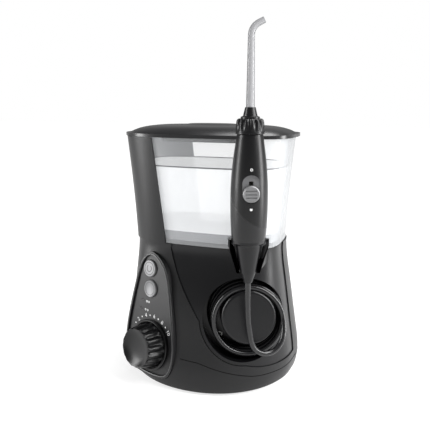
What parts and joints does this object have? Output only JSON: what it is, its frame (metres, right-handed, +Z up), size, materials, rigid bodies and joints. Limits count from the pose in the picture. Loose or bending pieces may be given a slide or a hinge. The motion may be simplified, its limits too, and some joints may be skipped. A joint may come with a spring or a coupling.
{
  "type": "water flosser",
  "caption": "Countertop water flosser: waisted base with pressure dial, clear lift-off tank with hinged lid, and a corded handle in a cradle.",
  "frame": {"origin": "middle of the tank in plan, on the plane that the rubber ring stands on", "axes": "+Z up, front of the object towards -Y, +X to the right as seen from the front"},
  "size_m": [0.1398, 0.1113, 0.2629],
  "materials": {
    "base_black": "satin",
    "cover_black": "semi-gloss",
    "panel_black": "satin",
    "lid_black": "semi-gloss",
    "handle_black": "satin",
    "dial_black": "semi-gloss",
    "foot_rubber": "matt",
    "seal_rubber": "matt",
    "steel": "brushed",
    "brass": "machined",
    "hose_grey": "smooth",
    "inner_white": "matt",
    "silver_buttons": "metallic silver",
    "lamp_lens": "clear",
    "board_green": "solder mask",
    "gear_nylon": "natural",
    "silicone": "translucent",
    "tank_clear": "clear, polished",
    "tip_grey": "glossy"
  },
  "bodies": {
    "base": {"base_tray": "base_black", "housing": "base_black", "front_cover": "cover_black", "control_panel": "panel_black", "handle_cradle": "cover_black", "hose_hub": "cover_black", "rubber_foot": "foot_rubber", "base_screws": "steel", "hose_coil": "hose_grey", "hose_run": "hose_grey", "hose_fitting": "inner_white", "indicator_lenses": "lamp_lens", "circuit_board": "board_green", "panel_switches": "inner_white", "dial_ring": "silver_buttons", "regulator_body": "inner_white", "motor": "steel", "motor_mount": "inner_white", "drive_frame": "steel", "gear_axle": "steel", "pump_body": "inner_white", "pump_valves": "seal_rubber", "tank_port": "inner_white", "power_board": "board_green", "power_gland": "foot_rubber", "inlet_tube": "silicone", "outlet_tube": "silicone", "delivery_tube": "silicone"},
    "tank_body": {"tank": "tank_clear", "side_cover": "base_black", "tank_valve_body": "inner_white", "tank_seal": "seal_rubber", "hinge_pins": "steel", "valve_spring": "steel"},
    "valve": {"valve_plunger": "inner_white"},
    "lid_body": {"lid": "lid_black", "tip_tray": "lid_black"},
    "handle": {"handle_shell": "handle_black", "handle_grip": "handle_black", "hose_cone": "cover_black", "handle_tube": "inner_white", "valve_block": "inner_white", "switch_plate": "handle_black"},
    "switch": {"slide_switch": "silver_buttons", "pause_spool": "inner_white"},
    "tip": {"tip_collar": "handle_black", "tip_seat": "tip_grey", "jet_tip": "tip_grey"},
    "power_key": {"power_button": "silver_buttons"},
    "mode_key": {"mode_button": "silver_buttons"},
    "dial": {"pressure_dial": "dial_black", "dial_shaft": "inner_white"},
    "pinion": {"drive_pinion": "brass"},
    "gear": {"drive_gear": "gear_nylon"},
    "pump_slide": {"pump_piston": "gear_nylon", "piston_pin": "steel", "connecting_rod": "gear_nylon"}
  },
  "joints": [
    {"name": "tank_lift", "type": "slide", "parent": "base", "child": "tank_body", "axis": [0, 0, 1], "range_m": [0, 0.045]},
    {"name": "valve_open", "type": "slide", "parent": "tank_body", "child": "valve", "axis": [0, 0, 1], "range_m": [0, 0.0015], "stiffness_N_per_m": 150, "deforming": ["valve_spring"]},
    {"name": "lid_hinge", "type": "hinge", "parent": "tank_body", "child": "lid_body", "pos_m": [0, 0.041, 0.186], "axis": [-1, 0, 0], "range_deg": [0, 105]},
    {"name": "handle_lift", "type": "slide", "parent": "base", "child": "handle", "axis": [0, 0, 1], "range_m": [0, 0.07]},
    {"name": "switch_slide", "type": "slide", "parent": "handle", "child": "switch", "axis": [0, 0, 1], "range_m": [0, 0.006]},
    {"name": "tip_swivel", "type": "hinge", "parent": "handle", "child": "tip", "pos_m": [0.0454, -0.052, 0.2], "axis": [0, 0, 1], "continuous": true},
    {"name": "power_press", "type": "slide", "parent": "base", "child": "power_key", "axis": [0.3535, 0.9208, -0.165], "range_m": [0, 0.0012], "stiffness_N_per_m": 400},
    {"name": "mode_press", "type": "slide", "parent": "base", "child": "mode_key", "axis": [0.3535, 0.9208, -0.165], "range_m": [0, 0.0012], "stiffness_N_per_m": 400},
    {"name": "dial_turn", "type": "hinge", "parent": "base", "child": "dial", "pos_m": [-0.0335, -0.0475, 0.028], "axis": [-0.3535, -0.9208, 0.165], "range_deg": [-54, 54]},
    {"name": "gear_turn", "type": "hinge", "parent": "base", "child": "gear", "pos_m": [0.006, 0.012, 0.062], "axis": [1, 0, 0], "continuous": true},
    {"name": "motor_spin", "type": "hinge", "parent": "base", "child": "pinion", "pos_m": [0.006, 0.012, 0.038], "axis": [1, 0, 0], "continuous": true},
    {"name": "pump_stroke", "type": "slide", "parent": "base", "child": "pump_slide", "axis": [0, 0, 1], "range_m": [0, 0.007]}
  ],
  "couplings": [
    {"joint": "motor_spin", "follows": "gear_turn", "ratio": -4.6667}
  ]
}
